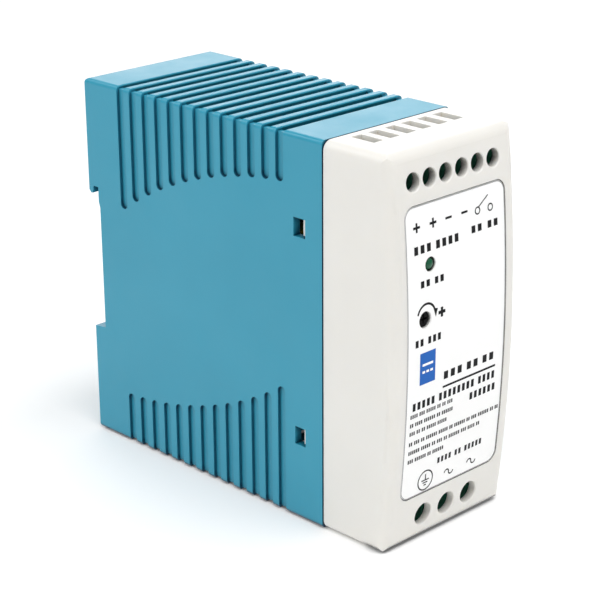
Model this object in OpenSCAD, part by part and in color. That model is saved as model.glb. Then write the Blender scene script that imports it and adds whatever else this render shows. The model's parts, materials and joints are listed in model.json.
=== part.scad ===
// DIN rail power supply, slim case for a 35 mm top-hat rail.
// X runs right as seen from the front, -Y is the front, +Z is up.
// The origin is on the rail seat plane, at mid width and mid height of the case.

/* [Case] */
// Width of the case along the rail
case_w = 40; // [35:1:60]
// Height of the case
case_h = 90; // [80:1:130]
// Depth from the back face to the front of the label
case_d = 100; // [85:1:130]
// Wall thickness of both mouldings
wall = 2; // [1.5:0.1:3]
// Depth of the rear shell, from the back face to the seam
shell_d = 78.7; // [60:0.1:90]
// Gap between the shell and the front cover at the seam
seam = 0.45; // [0.1:0.05:0.6]
// Radius of the curve of the front face, seen from the side
front_r = 341; // [150:1:600]
// Radius of the cover's upright front edges
front_edge_r = 2.5; // [1:0.1:5]
// Radius of the cover's top and bottom front edges
front_lip_r = 2.4; // [0.5:0.1:3]
// Radius of the long corners of the cover
cover_r = 2.2; // [0.5:0.1:3]
// Radius of the long corners of the shell
shell_r = 1.1; // [0.5:0.1:3]

/* [Vent grooves] */
// Number of grooves in each group
vents = 13; // [6:1:16]
// Distance from one groove to the next
vent_pitch = 4.41; // [3:0.01:6]
// Width of one groove
vent_w = 2.4; // [1:0.1:4]
// Depth of the grooves in the side walls
vent_depth = 0.7; // [0.4:0.1:1.5]
// Distance from the back face to the first groove
vent_start = 11.8; // [8:0.1:20]
// Radius of the edges of the ribs in the top and bottom walls
rib_r = 0.3; // [0.2:0.05:0.9]
// Thickness of the ribs in the top and bottom walls
rib_t = 1.3; // [1:0.05:2]
// How much wider the open slots are at the inside
vent_draft = 0.45; // [0:0.05:0.5]
// Half the width of the open slots in the top and bottom walls
vent_slot = 18; // [10:0.1:18]

/* [Rail notch] */
// Distance from the back face to the rail seat
rail_depth = 3.4; // [2.5:0.1:6]
// Height of the lower edge of the notch, below the middle
notch_low = 17.1; // [16:0.1:19]
// Height of the upper edge of the notch, above the middle
notch_high = 17; // [16:0.1:19]
// Height of the roof of the hook, above the middle
hook_top = 18.8; // [18:0.1:21]
// Travel of the latch that frees the rail
latch_travel = 4; // [2:0.1:6]

/* [Terminals] */
// Number of output terminals along the top
out_n = 6; // [2:1:6]
// Distance between output terminals
out_pitch = 5.08; // [5:0.01:7.62]
// Height of the output screws above the middle
out_z = 38.4; // [30:0.1:40]
// Radius of the access holes for the output screws
out_hole_r = 2.05; // [1.8:0.05:3]
// Number of input terminals along the bottom
in_n = 3; // [2:1:4]
// Distance between input terminals
in_pitch = 7.62; // [5:0.01:10]
// Distance of the input screws below the middle
in_z = 39; // [30:0.1:40]
// Radius of the access holes for the input screws
in_hole_r = 2.62; // [1.8:0.01:3.5]

/* [Label and controls] */
// Width of the label
label_w = 31.8; // [20:0.1:34]
// Height of the label
label_h = 66.6; // [40:0.1:68]
// Corner radius of the label
label_r = 2.6; // [0.5:0.1:5]
// Thickness of the label
label_t = 0.25; // [0.1:0.05:0.5]
// Depth of the recess that the label lies in
recess_d = 0.4; // [0.2:0.05:0.8]
// Position of the status light, to the left of the middle
light_x = 8.5; // [4:0.1:14]
// Height of the status light above the middle
light_z = 20; // [0:0.1:30]
// Position of the trimmer, to the left of the middle
trim_x = 10.35; // [4:0.1:13]
// Height of the trimmer above the middle
trim_z = 8.15; // [0:0.05:30]
// Radius of the hole in front of the trimmer
trim_hole_r = 1.8; // [1:0.1:3]

/* [Show] */
// Piece to show, or all of them

/* [Hidden] */
$fn = 64;
hw = case_w / 2;
hh = case_h / 2;
back_y = rail_depth;
front_y = back_y - case_d;
seam_y = back_y - shell_d;
cover_y = seam_y - seam;
arc_y = front_y + front_r;
turn_r = front_r - 31;
board_y = -73.2;
board_x = 13.9;
cell_y = -85.4;
tongue_y = -80.9;
tongue_t = 0.8;
block_y = -91.5;
out_collar_y = -92;
in_collar_y = -91.8;
wire_y = -80.1;
wire_d = 7;
cage_z = 2.5;
latch_y0 = 0.85;
latch_y1 = 2.65;
spring_r = 1.45;
spring_wire = 0.22;
spring_low = -31.6;
spring_top = -22.5;
spring_turns = 6;

// Front surface of the cover at a height, set back by a depth.
function front_at(z, set_back = 0) = arc_y - sqrt(pow(front_r - set_back, 2) - z * z);
function out_x(i) = (i - (out_n - 1) / 2) * out_pitch;
function in_x(i) = (i - (in_n - 1) / 2) * in_pitch;
function vent_y(i) = back_y - vent_start - vent_w / 2 - i * vent_pitch;
// Ends of the vent grooves lie on two shallow arcs.
function upper_end(y) = -77 + sqrt(pow(110.84, 2) - pow(y + 70.7, 2)) + vent_w / 2;
function lower_end(y) = 75.33 - sqrt(pow(107.61, 2) - pow(y + 2.94, 2)) - vent_w / 2;

// Extrudes an XZ drawing from y0 to y1.
module along_y(y0, y1) {
    translate([0, y1, 0])
        rotate([90, 0, 0])
            linear_extrude(y1 - y0)
                children();
}

// Extrudes a YZ drawing from x0 to x1.
module along_x(x0, x1) {
    translate([x0, 0, 0])
        rotate([90, 0, 90])
            linear_extrude(x1 - x0)
                children();
}

module slab(low, high) {
    translate(low)
        cube(high - low);
}

module rod_y(x, z, y0, y1, r) {
    translate([x, y1, z])
        rotate([90, 0, 0])
            cylinder(h = y1 - y0, r = r);
}

module rod_x(y, z, x0, x1, r) {
    translate([x0, y, z])
        rotate([0, 90, 0])
            cylinder(h = x1 - x0, r = r);
}

module round_rect(w, h, r) {
    square([w - 2 * r, h], center = true);
    square([w, h - 2 * r], center = true);
    for (x = [-1, 1])
        for (y = [-1, 1])
            translate([x * (w / 2 - r), y * (h / 2 - r)])
                circle(r);
}

// ---- rear shell ----

module shell_body() {
    intersection() {
        along_y(seam_y, back_y)
            round_rect(case_w, case_h, shell_r);
        along_x(-hw - 1, hw + 1) {
            translate([seam_y - 2, -hh])
                square([shell_d + 2 - shell_r, case_h]);
            translate([seam_y - 2, shell_r - hh])
                square([shell_d + 2, case_h - 2 * shell_r]);
            for (s = [-1, 1])
                translate([back_y - shell_r, s * (hh - shell_r)])
                    circle(shell_r);
        }
    }
}

module shell_cavity() {
    iw = hw - wall;
    ih = hh - wall;
    slab([-iw, seam_y - 1, -ih], [iw, -wall - 0.45, ih]);
    vent_end = vent_y(vents - 1) - vent_w;
    slab([-vent_slot, vent_end, ih - 1], [vent_slot, vent_y(0) + vent_w, hh - rib_t]);
    slab([-vent_slot, vent_end, rib_t - hh], [vent_slot, vent_y(2) + vent_w, 1 - ih]);
    slab([-iw, -wall - 1, hook_top + wall], [iw, back_y - wall, ih]);
    for (s = [-1, 1])
        scale_x(s)
            slab([11.2, -wall - 1, -ih], [iw, back_y - wall, -notch_low - wall]);
}

module notch_outline() {
    polygon([
        [back_y + 1, -notch_low - 0.5],
        [back_y, -notch_low - 0.4],
        [-0.45, -notch_low],
        [-0.45, 13.7],
        [0, 15.2],
        [0, hook_top],
        [1.7, hook_top],
        [2.1, notch_high],
        [2.7, notch_high - 0.1],
        [back_y, notch_high + 0.6],
        [back_y + 1, notch_high + 0.6]
    ]);
}

// Drawing that rounds both edges of one groove's mouth, which lies along +Y.
module mouth(w, r) {
    difference() {
        translate([-w / 2 - r, -r])
            square([w + 2 * r, r + 1]);
        for (s = [-1, 1])
            translate([s * (w / 2 + r), -r])
                circle(r);
    }
}

// Section of one open slot, a little wider at the inside.
module slot_section() {
    a = vent_w / 2;
    polygon([
        [-a, 1],
        [-a, -rib_r],
        [-a - vent_draft, -rib_t - 0.1],
        [-a - vent_draft, -wall - 1],
        [a + vent_draft, -wall - 1],
        [a + vent_draft, -rib_t - 0.1],
        [a, -rib_r],
        [a, 1]
    ]);
}

// Comb of groove drawings in the YZ plane, each with a round end.
module groove_comb(upper) {
    for (i = [0:vents - 1]) {
        y = vent_y(i);
        z = upper ? upper_end(y) : -hh - 1;
        top = upper ? hh + 1 : lower_end(y);
        translate([y - vent_w / 2, z])
            square([vent_w, top - z]);
        translate([y, upper ? z : top])
            circle(vent_w / 2);
    }
}

module vent_cuts() {
    for (upper = [true, false]) {
        along_x(hw - vent_depth, hw + 1)
            groove_comb(upper);
        along_x(-hw - 1, vent_depth - hw)
            groove_comb(upper);
    }
    for (i = [0:vents - 1])
        for (s = [-1, 1]) {
            along_x(-hw - 1, hw + 1)
                translate([vent_y(i), s * hh])
                    rotate(s > 0 ? 0 : 180) {
                        mouth(vent_w, rib_r);
                        translate([-vent_w / 2, -vent_depth])
                            square([vent_w, vent_depth + 1]);
                    }
            if (s > 0 || i > 1)
                along_x(-vent_slot, vent_slot)
                    translate([vent_y(i), s * hh])
                        rotate(s > 0 ? 0 : 180)
                            slot_section();
        }
}

module snap_windows() {
    for (s = [-1, 1]) {
        x = s > 0 ? hw - wall - 1 : -hw - 1;
        translate([x, -70.3, 22.2])
            cube([wall + 2, 3.6, 4.3]);
        translate([x, -70.1, -26.8])
            cube([wall + 2, 3.3, 4.3]);
    }
}

module latch_channel() {
    slab([-9.2, 0.7, -hh - 1], [9.2, 2.78, -18.95]);
    slab([-7.4, 2.7, -hh - 1], [7.4, back_y + 1, -notch_low]);
    slab([-6.2, 1, -19.1], [6.2, back_y + 1, -notch_low + 0.6]);
    slab([-2, -1.1, spring_low], [2, 0.8, spring_top + 0.6]);
}

module card_guides() {
    for (s = [-1, 1]) {
        z = s > 0 ? 40.4 : 1.1 - hh;
        for (x = [board_x - 0.9, board_x + 1.75])
            translate([x, -62, z])
                cube([0.75, 56, 3.5]);
    }
}

module rear_shell() {
    color([0.2, 0.52, 0.66])
        difference() {
            union() {
                difference() {
                    shell_body();
                    shell_cavity();
                    along_x(-hw - 1, hw + 1)
                        notch_outline();
                }
                card_guides();
                for (s = [-1, 1])
                    translate([s * 13.5 - 2.5, -0.6, -notch_low - 0.1])
                        cube([5, 0.6, 5.5]);
            }
            difference() {
                vent_cuts();
                slab([-11.2, -12.6, -hh - 2], [11.2, back_y, -30]);
            }
            snap_windows();
            difference() {
                latch_channel();
                slab([-1.5, 0, spring_low - 1.8], [1.5, 2.4, spring_low]);
            }
        }
}

// ---- front cover ----

// Side outline of the cover, with the curved front set back by a depth.
module cover_side(set_back, y_end) {
    r = front_lip_r - set_back / 2;
    zc = hh - set_back - r;
    yc = arc_y - sqrt(pow(front_r - set_back - r, 2) - zc * zc);
    intersection() {
        translate([arc_y, 0])
            circle(front_r - set_back, $fn = 720);
        translate([front_y - 2, -zc])
            square([y_end - front_y + 2, 2 * zc]);
    }
    translate([yc, set_back - hh])
        square([y_end - yc, case_h - 2 * set_back]);
    for (s = [-1, 1])
        translate([yc, s * zc])
            circle(r);
}

// Drawing of the cover in plan, with X as the distance from the axis of the front face's curve.
module cover_plan(set_back) {
    r = front_edge_r - set_back / 2;
    half = hw - set_back;
    reach = front_r - set_back;
    translate([turn_r, -half])
        square([reach - r - turn_r, 2 * half]);
    translate([turn_r, r - half])
        square([reach - turn_r, 2 * half - 2 * r]);
    for (s = [-1, 1])
        translate([reach - r, s * (half - r)])
            circle(r);
}

// Turns a plan drawing about the axis of the front face's curve.
module front_turn(angle) {
    translate([0, arc_y, 0])
        rotate([-90, 0, 0])
            rotate([0, 90, 0])
                rotate([0, 0, -angle])
                    rotate_extrude(angle = 2 * angle, $fn = 720)
                        children();
}

module cover_solid(set_back, y_end) {
    intersection() {
        along_x(-hw, hw)
            cover_side(set_back, y_end);
        front_turn(9)
            cover_plan(set_back);
    }
}

module cover_body() {
    intersection() {
        cover_solid(0, cover_y);
        along_y(front_y - 1, cover_y)
            round_rect(case_w, case_h, cover_r);
    }
}

// Hole along Y through the curved front, with a small countersink at its mouth.
module front_hole(x, z, r, rim) {
    rod_y(x, z, front_y - 1, -90, r);
    translate([x, front_at(z), z])
        rotate([90 - asin(z / front_r), 0, 0])
            translate([0, 0, -rim - 0.1])
                cylinder(h = rim + 0.7, r1 = r - 0.1, r2 = r + rim + 0.6);
}

module screw_holes() {
    for (i = [0:out_n - 1])
        front_hole(out_x(i), out_z, out_hole_r, 0.2);
    for (i = [0:in_n - 1])
        front_hole(in_x(i), -in_z, in_hole_r, 0.2);
}

module wire_holes() {
    for (i = [0:out_n - 1])
        translate([out_x(i) - 1, wire_y - 4.1, hh - wall - 1])
            cube([3, 6.5, wall + 2]);
    for (i = [0:in_n - 1])
        translate([in_x(i) - 3.1, wire_y - wire_d / 2, -hh - 1])
            cube([6.2, wire_d, wall + 2]);
}

// Hooks on the cover that snap into the shell's windows.
module snap_arm(z) {
    for (s = [-1, 1])
        scale_x(s)
            along_z(z - 1.8, z + 1.8)
                polygon([
                    [16.65, -78],
                    [18.4, -78],
                    [18.4, cover_y - 0.3],
                    [17.85, cover_y + 0.3],
                    [17.85, -69.95],
                    [19.2, -69.95],
                    [19.2, -69],
                    [17.85, -68.5],
                    [16.65, -68.5]
                ]);
}

module scale_x(s) {
    if (s > 0)
        children();
    else
        mirror([1, 0, 0])
            children();
}

module along_z(z0, z1) {
    translate([0, 0, z0])
        linear_extrude(z1 - z0)
            children();
}

module side_skirts() {
    for (s = [-1, 1])
        scale_x(s) {
            slab([16.65, -78, -20], [17.85, -73.4, 20]);
            slab([17.8, -78, -20], [18.4, cover_y - 0.3, 20]);
        }
}

module label_space(set_back) {
    intersection() {
        along_y(front_y - 2, front_y + 8)
            round_rect(label_w + set_back, label_h + set_back, label_r + set_back / 2);
        along_x(-hw, hw)
            difference() {
                translate([front_y - 4, -hh])
                    square([12, case_h]);
                translate([arc_y, 0])
                    circle(front_r - recess_d, $fn = 720);
            }
    }
}

module front_cover() {
    color([0.92, 0.91, 0.88])
        difference() {
            union() {
                difference() {
                    cover_body();
                    cover_solid(wall, cover_y + 1);
                }
                snap_arm(24.35);
                snap_arm(-24.65);
                side_skirts();
            }
            screw_holes();
            wire_holes();
            label_space(0.5);
            rod_y(-light_x, light_z, front_y - 1, -90, 1.6);
            rod_y(-trim_x, trim_z, front_y - 1, -90, trim_hole_r);
        }
}

module front_label() {
    color([0.97, 0.97, 0.96])
        difference() {
            intersection() {
                along_y(front_y - 2, front_y + 8)
                    round_rect(label_w, label_h, label_r);
                along_x(-hw, hw)
                    intersection() {
                        difference() {
                            translate([arc_y, 0])
                                circle(front_r - recess_d + label_t, $fn = 720);
                            translate([arc_y, 0])
                                circle(front_r - recess_d, $fn = 720);
                        }
                        translate([front_y - 4, -hh])
                            square([12, case_h]);
                    }
            }
            rod_y(-light_x, light_z, front_y - 1, -90, 1.65);
            rod_y(-trim_x, trim_z, front_y - 1, -90, trim_hole_r + 0.1);
        }
}

// ---- rail latch ----

module rail_latch() {
    color([0.16, 0.42, 0.55])
        difference() {
            union() {
                slab([-9, latch_y0, -hh + 0.1], [9, latch_y1, -19.05]);
                slab([-7.2, latch_y1 - 0.1, -hh + 0.1], [7.2, 3.2, -19.05]);
                along_x(-6, 6)
                    polygon([
                        [1.15, -19.2],
                        [1.15, -15.8],
                        [1.6, -15.2],
                        [3.2, -17.6],
                        [3.2, -19.2]
                    ]);
            }
            slab([-2.4, latch_y0 - 1, -37.8], [2.4, latch_y1 + 0.01, spring_top]);
            slab([-2.5, latch_y0 - 1, -43.2], [2.5, 4, -40.8]);
            for (k = [0:3])
                slab([-5.5, 2.9, -26.5 - k * 1.6], [5.5, 4, -25.7 - k * 1.6]);
        }
}

// Point on the centre line of the spring's wire.
function coil(t) = [
    spring_r * cos(360 * t),
    0.9 + spring_r * sin(360 * t),
    spring_low + spring_wire + (spring_top - spring_low - 2 * spring_wire) * t / spring_turns
];

module latch_spring() {
    steps = 14;
    color([0.75, 0.76, 0.78])
        for (k = [0:steps * spring_turns - 1])
            hull()
                for (t = [k, k + 1])
                    translate(coil(t / steps))
                        sphere(spring_wire, $fn = 8);
}

// ---- boards ----

module main_board() {
    color([0.1, 0.33, 0.16])
        slab([board_x, -71.4, -41.4], [board_x + 1.6, -3.2, 41.4]);
}

module front_board() {
    color([0.1, 0.33, 0.16])
        difference() {
            slab([-16.2, board_y, -41.4], [16.2, board_y + 1.6, 41.4]);
            tongue_slots();
            for (s = [-1, 1])
                rod_y(-light_x + s * 1.27, light_z, board_y - 1, board_y + 3, 0.45);
        }
}

module board_connector() {
    color([0.08, 0.08, 0.09])
        slab([board_x - 2.6, board_y + 1.7, -12], [board_x - 0.05, -69.1, 12]);
}

module insulation_sheet() {
    color([0.85, 0.82, 0.7, 0.8])
        slab([16.9, -62, -40], [17.3, -4, 40]);
}

// ---- terminal blocks ----

module tongue_slots() {
    for (i = [0:out_n - 1])
        translate([out_x(i) - 1.4, -76.5, 33.5])
            cube([2.8, 6, 1]);
    for (i = [0:in_n - 1])
        translate([in_x(i) - 2.2, -76.5, -34.5])
            cube([4.4, 6, 1]);
}

module output_terminal_block() {
    color([0.07, 0.3, 0.2])
        difference() {
            union() {
                slab([-out_n * out_pitch / 2, block_y, 32.6], [out_n * out_pitch / 2, board_y, 42.6]);
                for (i = [0:out_n - 1])
                    rod_y(out_x(i), out_z, out_collar_y, block_y + 1, 2.5);
            }
            for (i = [0:out_n - 1]) {
                slab([out_x(i) - 2.12, cell_y, 33.4], [out_x(i) + 2.12, -76, 43]);
                rod_y(out_x(i), out_z, out_collar_y - 1, -86.3, 2.1);
                rod_y(out_x(i), out_z, -86.4, cell_y + 1, 1.75);
            }
            tongue_slots();
        }
}

module input_terminal_block() {
    in_half = in_n * in_pitch / 2 + 0.4;
    color([0.07, 0.3, 0.2])
        difference() {
            union() {
                slab([-in_half, block_y, -42.6], [in_half, board_y, -32.6]);
                for (i = [0:in_n - 1])
                    rod_y(in_x(i), -in_z, in_collar_y, block_y + 1, 3.05);
            }
            for (i = [0:in_n - 1]) {
                slab([in_x(i) - 3.15, cell_y, -43], [in_x(i) + 3.15, -76, -33.4]);
                rod_y(in_x(i), -in_z, in_collar_y - 1, -86.3, 2.65);
                rod_y(in_x(i), -in_z, -86.4, cell_y + 1, 2);
            }
            tongue_slots();
        }
}

// Cross-headed terminal screw along Y, its head towards the front.
module terminal_screw(x, z, head_r, shaft_r) {
    color([0.78, 0.78, 0.8])
        difference() {
            union() {
                rod_y(x, z, -88.6, -86.4, head_r);
                rod_y(x, z, -86.5, -80.98, shaft_r);
            }
            for (a = [0, 90])
                translate([x, -88.6, z])
                    rotate([0, a, 0])
                        cube([head_r * 1.5, 2, 0.7], center = true);
        }
}

// Rising clamp: a steel loop that the wire passes through from above or below.
module clamp_cage(x, z, half, side, hole_r) {
    color([0.72, 0.73, 0.75])
        difference() {
            slab([x - half, -82.5, z - cage_z], [x + half, -76.25, z + cage_z]);
            slab([x - half + side, -81.1, z - cage_z - 1], [x + half - side, -77.1, z + cage_z + 1]);
            rod_y(x, z, -83, -81, hole_r);
        }
}

module tongue(x, z, half, s) {
    foot = s > 0 ? [33.6, 34.4] : [-34.4, -33.6];
    top = z + s * cage_z;
    slab(
        [x - half, tongue_y, min(foot[0], top)],
        [x + half, tongue_y + tongue_t, max(foot[1], top)]
    );
    slab([x - half, tongue_y, foot[0]], [x + half, -71.5, foot[1]]);
}

module output_screw(i) {
    terminal_screw(out_x(i), out_z, 1.9, 1.5);
}

module output_cage(i) {
    clamp_cage(out_x(i), out_z, 2, 0.45, 1.55);
}

module input_screw(i) {
    terminal_screw(in_x(i), -in_z, 2.4, 1.75);
}

module input_cage(i) {
    clamp_cage(in_x(i), -in_z, 3, 0.6, 1.8);
}

module output_tongues() {
    color([0.8, 0.6, 0.35])
        for (i = [0:out_n - 1])
            tongue(out_x(i), out_z, 1.3, 1);
}

module input_tongues() {
    color([0.8, 0.6, 0.35])
        for (i = [0:in_n - 1])
            tongue(in_x(i), -in_z, 2.1, -1);
}

// ---- light and trimmer ----

module status_light() {
    tip = front_at(light_z);
    color([0.1, 0.45, 0.25])
        translate([-light_x, 0, light_z])
            rotate([90, 0, 0]) {
                translate([0, 0, -tip - 1.5])
                    sphere(1.5);
                translate([0, 0, 91.4])
                    cylinder(h = -tip - 1.5 - 91.4, r = 1.5);
                translate([0, 0, 90.6])
                    cylinder(h = 0.9, r = 1.9);
            }
}

module light_spacer() {
    color([0.9, 0.9, 0.88])
        difference() {
            rod_y(-light_x, light_z, -90.55, board_y - 0.05, 2.3);
            for (s = [-1, 1])
                rod_y(-light_x + s * 1.27, light_z, -91, board_y + 1, 0.5);
        }
}

module light_leads() {
    color([0.8, 0.8, 0.8])
        for (s = [-1, 1])
            rod_y(-light_x + s * 1.27, light_z, -90.55, board_y + 2.6, 0.3);
}

module trimmer_body() {
    color([0.12, 0.25, 0.5])
        difference() {
            slab([-trim_x - 3.3, -78.5, trim_z - 3.4], [-trim_x + 3.3, board_y - 0.05, trim_z + 3.4]);
            rod_y(-trim_x, trim_z, -79, -76.9, 1.75);
        }
}

// Rotor with a long shaft, whose slotted end is just inside the hole in the cover.
module trimmer_rotor() {
    tip = front_at(trim_z) + 0.75;
    color([0.08, 0.08, 0.09])
        difference() {
            union() {
                rod_y(-trim_x, trim_z, -79, -77, 1.7);
                rod_y(-trim_x, trim_z, tip, -78.9, 1.6);
            }
            for (a = [0, 90])
                translate([-trim_x, tip, trim_z])
                    rotate([0, a, 0])
                        cube([2.2, 1.2, 0.5], center = true);
        }
}

// ---- parts on the main board ----

module transformer_core() {
    color([0.2, 0.2, 0.21])
        difference() {
            slab([-12, -50.8, -0.5], [13, -25.2, 8.5]);
            for (s = [-1, 1])
                translate([0.5, s * 6.45 - 38, 4])
                    cube([17, 5.5, 12], center = true);
        }
}

module bobbin_plate(x) {
    difference() {
        slab([x, -47.1, -5.5], [x + 1, -28.9, 13.5]);
        slab([x - 1, -41.8, -0.6], [x + 2, -34.2, 8.6]);
    }
}

module transformer_bobbin() {
    color([0.13, 0.13, 0.14])
        union() {
            difference() {
                slab([-7.8, -42.6, -1.4], [8.8, -33.4, 9.4]);
                slab([-9, -41.8, -0.6], [10, -34.2, 8.6]);
            }
            bobbin_plate(7.8);
            bobbin_plate(-7.8);
            for (z = [-5.5, 8.8])
                slab([8.7, -47, z], [board_x - 0.05, -29, z + 4.6]);
        }
}

module transformer_winding() {
    color([0.85, 0.68, 0.15])
        difference() {
            slab([-6.7, -46.7, -5], [7.7, -29.3, 13]);
            slab([-7, -42.7, -1.5], [8, -33.3, 9.5]);
        }
}

// Electrolytic capacitor standing off the board along X.
module can(y, z, r, h) {
    difference() {
        rod_x(y, z, board_x - h, board_x - 0.05, r);
        translate([board_x - 3, y, z])
            rotate([0, 90, 0])
                rotate_extrude()
                    translate([r + 0.5, 0])
                        circle(0.9);
        for (a = [0, 90])
            translate([board_x - h, y, z])
                rotate([a, 0, 0])
                    cube([0.5, r * 1.3, 0.5], center = true);
    }
}

module bulk_capacitor() {
    color([0.12, 0.12, 0.13])
        can(-15, -28.5, 9, 28);
}

module output_capacitor(i) {
    color([0.1, 0.12, 0.3])
        can(-34.5 - i * 10.7, 27, 5, 25);
}

module choke_core() {
    color([0.25, 0.26, 0.27])
        translate([2.6, -38, -30])
            rotate([90, 0, 0])
                rotate_extrude()
                    translate([5.5, -4])
                        square([4.5, 8]);
}

module choke_winding() {
    color([0.72, 0.42, 0.2])
        translate([2.6, -38, -30])
            rotate([90, 0, 0])
                for (a = [-60, 120])
                    rotate([0, 0, a])
                        rotate_extrude(angle = 120)
                            difference() {
                                translate([4.4, -5.1])
                                    square([6.7, 10.2]);
                                translate([5.4, -4.1])
                                    square([4.7, 8.2]);
                            }
}

module output_inductor() {
    color([0.15, 0.15, 0.16])
        rod_x(-54.6, 27, -3, board_x - 0.05, 4);
}

module filter_capacitor() {
    color([0.9, 0.75, 0.1])
        slab([-1, -68.5, -27.5], [board_x - 0.05, -51, -19]);
}

module disc_part(y, z, r, t) {
    rod_y(board_x - 1.5 - r, z, y - t / 2, y + t / 2, r);
    for (s = [-1, 1])
        rod_x(y, z + s * 2.5, board_x - 1.6 - r, board_x - 0.05, 0.35);
}

module safety_capacitor(i) {
    color([0.15, 0.4, 0.75])
        disc_part(-64.5, 2.5 - i * 10, 4, 3.5);
}

module fuse() {
    color([0.12, 0.1, 0.1])
        rod_x(-65.5, -35, 5.5, board_x - 0.05, 4.2);
}

module inrush_thermistor() {
    color([0.1, 0.22, 0.16])
        disc_part(-50.5, -34.5, 5, 4);
}

module varistor() {
    color([0.1, 0.28, 0.6])
        disc_part(-57.5, -34.5, 5.5, 4);
}

module bridge_rectifier() {
    color([0.11, 0.11, 0.12])
        slab([-2, -49, -16.6], [board_x - 0.05, -29, -13]);
}

// Flat heat sink with a turned edge, and a screw hole for its device.
module heatsink(z) {
    difference() {
        union() {
            slab([-14, -27.5, z], [board_x - 0.05, -5, z + 1.8]);
            slab([-14, -27.5, z], [-12.4, -5, z + 7]);
        }
        translate([-4, -16, z - 1])
            cylinder(h = 4, r = 1.6);
    }
}

module primary_heatsink() {
    color([0.75, 0.76, 0.78])
        heatsink(-17);
}

module secondary_heatsink() {
    color([0.75, 0.76, 0.78])
        heatsink(18.6);
}

// Flat power device: a metal tab with a hole, and a moulded body in front of it.
module power_device(z) {
    difference() {
        union() {
            slab([-7, -21, z], [8.5, -11, z + 1.3]);
            slab([-0.9, -21, z], [8.5, -11, z + 4.5]);
        }
        translate([-4, -16, z - 1])
            cylinder(h = 4, r = 1.7);
    }
    for (k = [-1:1])
        slab([8.4, -16.4 + k * 2.54, z + 2], [board_x - 0.05, -15.6 + k * 2.54, z + 2.6]);
}

module switching_transistor() {
    color([0.1, 0.1, 0.11])
        power_device(-15.15);
}

module output_rectifier() {
    color([0.1, 0.1, 0.11])
        power_device(20.45);
}

module device_screws() {
    color([0.7, 0.7, 0.72])
        for (z = [-17, 18.6]) {
            translate([-4, -16, z - 1])
                cylinder(h = 4.5, r = 1.45);
            translate([-4, -16, z + 3.2])
                cylinder(h = 1.8, r = 2.7);
        }
}

module optocoupler() {
    color([0.92, 0.92, 0.9])
        slab([10.3, -60, 8], [board_x - 0.05, -53.5, 12.6]);
}

module control_chip() {
    color([0.1, 0.1, 0.11])
        slab([12.3, -22, -6], [board_x - 0.05, -17, -2]);
}

module signal_relay() {
    color([0.15, 0.16, 0.18])
        slab([-1.6, -70, 16], [board_x - 0.05, -60, 35.5]);
}

rear_shell();
front_cover();
front_label();
rail_latch();
latch_spring();
main_board();
front_board();
board_connector();
insulation_sheet();
output_terminal_block();
input_terminal_block();
output_screw(0);  // output_screw_1
output_screw(1);  // output_screw_2
output_screw(2);  // output_screw_3
output_screw(3);  // output_screw_4
output_screw(4);  // output_screw_5
output_screw(5);  // output_screw_6
output_cage(0);  // output_cage_1
output_cage(1);  // output_cage_2
output_cage(2);  // output_cage_3
output_cage(3);  // output_cage_4
output_cage(4);  // output_cage_5
output_cage(5);  // output_cage_6
input_screw(0);  // input_screw_1
input_screw(1);  // input_screw_2
input_screw(2);  // input_screw_3
input_cage(0);  // input_cage_1
input_cage(1);  // input_cage_2
input_cage(2);  // input_cage_3
output_tongues();
input_tongues();
status_light();
light_spacer();
light_leads();
trimmer_body();
trimmer_rotor();
transformer_core();
transformer_bobbin();
transformer_winding();
bulk_capacitor();
output_capacitor(0);  // output_capacitor_1
output_capacitor(1);  // output_capacitor_2
choke_core();
choke_winding();
output_inductor();
filter_capacitor();
safety_capacitor(0);  // safety_capacitor_1
safety_capacitor(1);  // safety_capacitor_2
fuse();
inrush_thermistor();
varistor();
bridge_rectifier();
switching_transistor();
primary_heatsink();
output_rectifier();
secondary_heatsink();
device_screws();
optocoupler();
control_chip();
signal_relay();
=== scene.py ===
import json
import math
import random

import bmesh
import bpy
from mathutils import Matrix, Vector


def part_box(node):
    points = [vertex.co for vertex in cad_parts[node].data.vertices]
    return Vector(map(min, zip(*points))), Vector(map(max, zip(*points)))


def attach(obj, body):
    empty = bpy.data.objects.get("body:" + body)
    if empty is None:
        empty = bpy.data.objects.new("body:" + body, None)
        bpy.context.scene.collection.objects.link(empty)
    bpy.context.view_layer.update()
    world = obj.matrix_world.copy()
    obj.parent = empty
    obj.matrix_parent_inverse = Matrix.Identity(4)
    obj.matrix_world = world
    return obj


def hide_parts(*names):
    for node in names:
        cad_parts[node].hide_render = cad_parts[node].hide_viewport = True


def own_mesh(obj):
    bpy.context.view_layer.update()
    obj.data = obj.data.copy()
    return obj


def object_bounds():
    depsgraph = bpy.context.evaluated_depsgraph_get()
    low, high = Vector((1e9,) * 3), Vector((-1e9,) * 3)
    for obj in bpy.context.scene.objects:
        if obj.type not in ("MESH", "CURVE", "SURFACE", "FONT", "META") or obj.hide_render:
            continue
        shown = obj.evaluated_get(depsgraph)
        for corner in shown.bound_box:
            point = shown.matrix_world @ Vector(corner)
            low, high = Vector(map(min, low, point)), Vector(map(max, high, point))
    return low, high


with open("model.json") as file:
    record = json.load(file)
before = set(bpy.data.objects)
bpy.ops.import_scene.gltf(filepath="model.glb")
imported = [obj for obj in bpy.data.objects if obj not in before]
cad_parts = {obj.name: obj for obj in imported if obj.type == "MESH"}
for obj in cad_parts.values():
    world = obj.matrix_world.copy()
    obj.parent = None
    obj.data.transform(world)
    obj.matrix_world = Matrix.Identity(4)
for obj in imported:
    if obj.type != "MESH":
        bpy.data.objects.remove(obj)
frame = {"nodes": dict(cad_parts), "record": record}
CAD_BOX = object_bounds()
NODES = frame["nodes"]
MM = 0.001

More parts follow.
